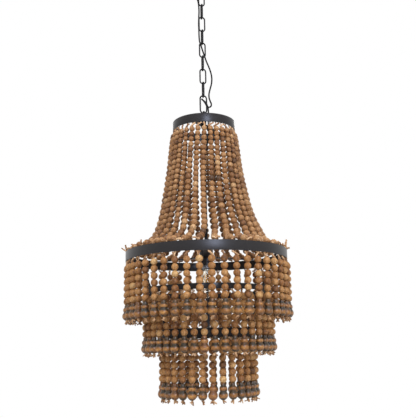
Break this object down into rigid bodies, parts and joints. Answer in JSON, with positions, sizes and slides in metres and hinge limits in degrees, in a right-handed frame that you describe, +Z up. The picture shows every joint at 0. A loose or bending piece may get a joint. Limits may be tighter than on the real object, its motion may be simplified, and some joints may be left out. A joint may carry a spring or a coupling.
{
  "type": "beaded chandelier",
  "caption": "Ceiling chandelier: strands of wooden beads drape from a small top hoop to a wide hoop and hang in falls below it, on a chain from a round canopy.",
  "frame": {"origin": "middle of the ceiling face, where the canopy meets the ceiling", "axes": "+Z up into the ceiling, +X to the right and -Y towards the viewer of the picture"},
  "size_m": [0.4928, 0.4928, 1.3185],
  "materials": {
    "black_steel": "satin charcoal-black paint",
    "zinc_steel": "plain zinc plate",
    "black_rubber": "matt black sheath",
    "bead_wood": "unfinished light and mid brown wood, finials painted in grey and gold-brown bands",
    "holder_plastic": "matt black",
    "cap_metal": "bright nickel",
    "clear_glass": "clear, polished",
    "filament": "yellow coated filament rods on a glass stem"
  },
  "bodies": {
    "ceiling": {"canopy": "black_steel", "mounting_bar": "zinc_steel", "canopy_loop": "black_steel", "canopy_collar": "black_steel", "canopy_bushing": "black_rubber", "supply_cord": "black_rubber"},
    "link_1": {"chain_link_1": "black_steel"},
    "link_2": {"chain_link_2": "black_steel"},
    "link_3": {"chain_link_3": "black_steel"},
    "link_4": {"chain_link_4": "black_steel"},
    "link_5": {"chain_link_5": "black_steel"},
    "link_6": {"chain_link_6": "black_steel"},
    "link_7": {"chain_link_7": "black_steel"},
    "link_8": {"chain_link_8": "black_steel"},
    "connector": {"connector_link": "black_steel"},
    "frame": {"frame_eye": "black_steel", "cord_gland": "black_rubber", "top_hoop": "black_steel", "top_crossbar": "black_steel", "centre_tube": "black_steel", "tube_nut": "black_steel", "mid_hoop": "black_steel", "mid_spider": "black_steel", "second_hoop": "black_steel", "third_hoop": "black_steel", "hanger_strap_1": "black_steel", "hanger_strap_2": "black_steel", "hanger_strap_3": "black_steel", "socket_cup": "black_steel", "socket_insert": "holder_plastic", "lamp_lead": "black_rubber", "upper_beads_1": "bead_wood", "upper_beads_2": "bead_wood", "upper_beads_3": "bead_wood"},
    "bulb_cap": {"bulb_cap": "cap_metal"},
    "bulb": {"bulb_glass": "clear_glass", "bulb_filament": "filament"},
    "outer_run_1": {"outer_beads_1": "bead_wood"},
    "outer_run_2": {"outer_beads_2": "bead_wood"},
    "outer_run_3": {"outer_beads_3": "bead_wood"},
    "outer_run_4": {"outer_beads_4": "bead_wood"},
    "outer_run_5": {"outer_beads_5": "bead_wood"},
    "outer_run_6": {"outer_beads_6": "bead_wood"},
    "outer_run_7": {"outer_beads_7": "bead_wood"},
    "outer_run_8": {"outer_beads_8": "bead_wood"},
    "outer_run_9": {"outer_beads_9": "bead_wood"},
    "second_run_1": {"second_beads_1": "bead_wood"},
    "second_run_2": {"second_beads_2": "bead_wood"},
    "second_run_3": {"second_beads_3": "bead_wood"},
    "second_run_4": {"second_beads_4": "bead_wood"},
    "second_run_5": {"second_beads_5": "bead_wood"},
    "second_run_6": {"second_beads_6": "bead_wood"},
    "second_run_7": {"second_beads_7": "bead_wood"},
    "third_run_1": {"third_beads_1": "bead_wood"},
    "third_run_2": {"third_beads_2": "bead_wood"},
    "third_run_3": {"third_beads_3": "bead_wood"},
    "third_run_4": {"third_beads_4": "bead_wood"},
    "third_run_5": {"third_beads_5": "bead_wood"}
  },
  "joints": [
    {"name": "loop_swing", "type": "hinge", "parent": "ceiling", "child": "link_1", "pos_m": [0, 0, -0.0561], "axis": [-0.2419, 0.9703, 0], "range_deg": [-15, 15], "deforming": ["supply_cord"]},
    {"name": "link_1_swing", "type": "hinge", "parent": "link_1", "child": "link_2", "pos_m": [0, 0, -0.1005], "axis": [0.9703, 0.2419, 0], "range_deg": [-15, 15], "deforming": ["supply_cord"]},
    {"name": "link_2_swing", "type": "hinge", "parent": "link_2", "child": "link_3", "pos_m": [0, 0, -0.1453], "axis": [-0.2419, 0.9703, 0], "range_deg": [-15, 15], "deforming": ["supply_cord"]},
    {"name": "link_3_swing", "type": "hinge", "parent": "link_3", "child": "link_4", "pos_m": [0, 0, -0.1901], "axis": [0.9703, 0.2419, 0], "range_deg": [-15, 15], "deforming": ["supply_cord"]},
    {"name": "link_4_swing", "type": "hinge", "parent": "link_4", "child": "link_5", "pos_m": [0, 0, -0.2349], "axis": [-0.2419, 0.9703, 0], "range_deg": [-15, 15], "deforming": ["supply_cord"]},
    {"name": "link_5_swing", "type": "hinge", "parent": "link_5", "child": "link_6", "pos_m": [0, 0, -0.2797], "axis": [0.9703, 0.2419, 0], "range_deg": [-15, 15], "deforming": ["supply_cord"]},
    {"name": "link_6_swing", "type": "hinge", "parent": "link_6", "child": "link_7", "pos_m": [0, 0, -0.3245], "axis": [-0.2419, 0.9703, 0], "range_deg": [-15, 15], "deforming": ["supply_cord"]},
    {"name": "link_7_swing", "type": "hinge", "parent": "link_7", "child": "link_8", "pos_m": [0, 0, -0.3693], "axis": [0.9703, 0.2419, 0], "range_deg": [-15, 15], "deforming": ["supply_cord"]},
    {"name": "link_8_swing", "type": "hinge", "parent": "link_8", "child": "connector", "pos_m": [0, 0, -0.4141], "axis": [-0.2419, 0.9703, 0], "range_deg": [-15, 15], "deforming": ["supply_cord"]},
    {"name": "frame_swing", "type": "hinge", "parent": "connector", "child": "frame", "pos_m": [0, 0, -0.4671], "axis": [0.9703, 0.2419, 0], "range_deg": [-15, 15], "deforming": ["supply_cord"]},
    {"name": "outer_run_1_swing", "type": "hinge", "parent": "frame", "child": "outer_run_1", "pos_m": [0.01279, -0.22871, -0.93235], "axis": [-0.9984, -0.0558, 0], "range_deg": [-2.5, 20]},
    {"name": "outer_run_2_swing", "type": "hinge", "parent": "frame", "child": "outer_run_2", "pos_m": [0.15681, -0.16699, -0.93235], "axis": [-0.729, -0.6845, 0], "range_deg": [-2.5, 20]},
    {"name": "outer_run_3_swing", "type": "hinge", "parent": "frame", "child": "outer_run_3", "pos_m": [0.22746, -0.02712, -0.93235], "axis": [-0.1184, -0.993, 0], "range_deg": [-2.5, 20]},
    {"name": "outer_run_4_swing", "type": "hinge", "parent": "frame", "child": "outer_run_4", "pos_m": [0.19168, 0.12543, -0.93235], "axis": [0.5476, -0.8368, 0], "range_deg": [-2.5, 20]},
    {"name": "outer_run_5_swing", "type": "hinge", "parent": "frame", "child": "outer_run_5", "pos_m": [0.06621, 0.21929, -0.93235], "axis": [0.9573, -0.289, 0], "range_deg": [-2.5, 20]},
    {"name": "outer_run_6_swing", "type": "hinge", "parent": "frame", "child": "outer_run_6", "pos_m": [-0.09024, 0.21055, -0.93235], "axis": [0.9191, 0.3939, 0], "range_deg": [-2.5, 20]},
    {"name": "outer_run_7_swing", "type": "hinge", "parent": "frame", "child": "outer_run_7", "pos_m": [-0.20447, 0.10328, -0.93235], "axis": [0.4509, 0.8926, 0], "range_deg": [-2.5, 20]},
    {"name": "outer_run_8_swing", "type": "hinge", "parent": "frame", "child": "outer_run_8", "pos_m": [-0.22302, -0.05231, -0.93235], "axis": [-0.2284, 0.9736, 0], "range_deg": [-2.5, 20]},
    {"name": "outer_run_9_swing", "type": "hinge", "parent": "frame", "child": "outer_run_9", "pos_m": [-0.13722, -0.18342, -0.93235], "axis": [-0.8007, 0.599, 0], "range_deg": [-2.5, 20]},
    {"name": "second_run_1_swing", "type": "hinge", "parent": "frame", "child": "second_run_1", "pos_m": [0.00225, -0.17668, -1.02805], "axis": [-0.9999, -0.0127, 0], "range_deg": [-0.3, 20]},
    {"name": "second_run_2_swing", "type": "hinge", "parent": "frame", "child": "second_run_2", "pos_m": [0.13954, -0.1084, -1.02805], "axis": [-0.6135, -0.7897, 0], "range_deg": [-0.3, 20]},
    {"name": "second_run_3_swing", "type": "hinge", "parent": "frame", "child": "second_run_3", "pos_m": [0.17175, 0.04151, -1.02805], "axis": [0.2349, -0.972, 0], "range_deg": [-0.3, 20]},
    {"name": "second_run_4_swing", "type": "hinge", "parent": "frame", "child": "second_run_4", "pos_m": [0.07464, 0.16016, -1.02805], "axis": [0.9064, -0.4224, 0], "range_deg": [-0.3, 20]},
    {"name": "second_run_5_swing", "type": "hinge", "parent": "frame", "child": "second_run_5", "pos_m": [-0.07868, 0.15821, -1.02805], "axis": [0.8954, 0.4453, 0], "range_deg": [-0.3, 20]},
    {"name": "second_run_6_swing", "type": "hinge", "parent": "frame", "child": "second_run_6", "pos_m": [-0.17275, 0.03712, -1.02805], "axis": [0.2101, 0.9777, 0], "range_deg": [-0.3, 20]},
    {"name": "second_run_7_swing", "type": "hinge", "parent": "frame", "child": "second_run_7", "pos_m": [-0.13673, -0.11192, -1.02805], "axis": [-0.6334, 0.7738, 0], "range_deg": [-0.3, 20]},
    {"name": "third_run_1_swing", "type": "hinge", "parent": "frame", "child": "third_run_1", "pos_m": [-0.00261, -0.12462, -1.15305], "axis": [-0.9998, 0.0209, 0], "range_deg": [-0.25, 20]},
    {"name": "third_run_2_swing", "type": "hinge", "parent": "frame", "child": "third_run_2", "pos_m": [0.11771, -0.04099, -1.15305], "axis": [-0.3289, -0.9444, 0], "range_deg": [-0.25, 20]},
    {"name": "third_run_3_swing", "type": "hinge", "parent": "frame", "child": "third_run_3", "pos_m": [0.07536, 0.09929, -1.15305], "axis": [0.7965, -0.6046, 0], "range_deg": [-0.25, 20]},
    {"name": "third_run_4_swing", "type": "hinge", "parent": "frame", "child": "third_run_4", "pos_m": [-0.07114, 0.10235, -1.15305], "axis": [0.8211, 0.5707, 0], "range_deg": [-0.25, 20]},
    {"name": "third_run_5_swing", "type": "hinge", "parent": "frame", "child": "third_run_5", "pos_m": [-0.11933, -0.03603, -1.15305], "axis": [-0.289, 0.9573, 0], "range_deg": [-0.25, 20]},
    {"name": "bulb_travel", "type": "slide", "parent": "frame", "child": "bulb_cap", "axis": [0, 0, 1], "range_m": [-0.0181, 0]},
    {"name": "bulb_turn", "type": "hinge", "parent": "bulb_cap", "child": "bulb", "pos_m": [0, 0, -0.93], "axis": [0, 0, 1], "range_deg": [0, 1800]}
  ],
  "couplings": [
    {"joint": "bulb_turn", "follows": "bulb_travel", "rad_per_m": -1731.3}
  ]
}
